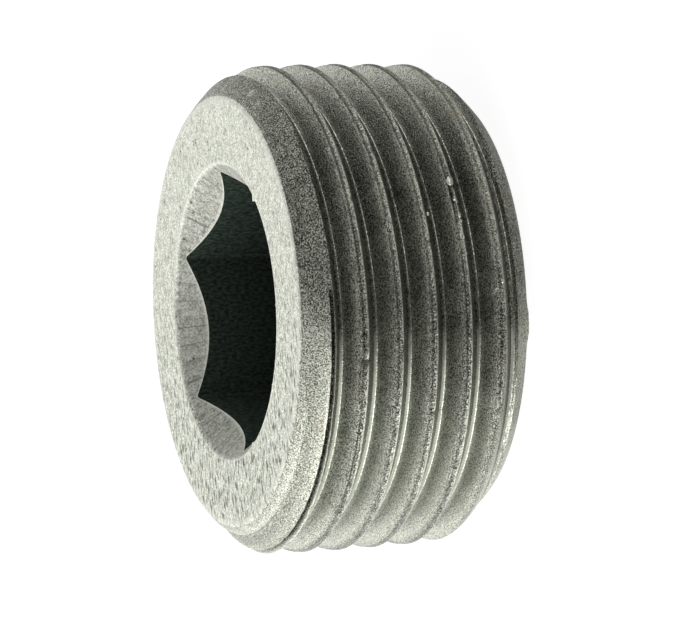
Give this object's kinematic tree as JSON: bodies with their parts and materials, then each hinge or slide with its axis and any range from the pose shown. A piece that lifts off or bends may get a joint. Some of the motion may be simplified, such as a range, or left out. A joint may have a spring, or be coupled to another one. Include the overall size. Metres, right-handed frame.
{
  "type": "hex socket plug",
  "caption": "Headless screw plug with a right-hand external taper thread and a hexagon socket with a countersunk mouth, which closes and seals a threaded port.",
  "frame": {"origin": "centre of the flat small end", "axes": "+Z along the thread axis, from the small end to the socket; two corners of the hexagon lie on X"},
  "size_m": [0.02, 0.02, 0.01],
  "materials": {
    "steel": "plain matte grey steel with a fine grain, paler on the turned face"
  },
  "bodies": {
    "root": {"plug_body": "steel"}
  },
  "joints": []
}
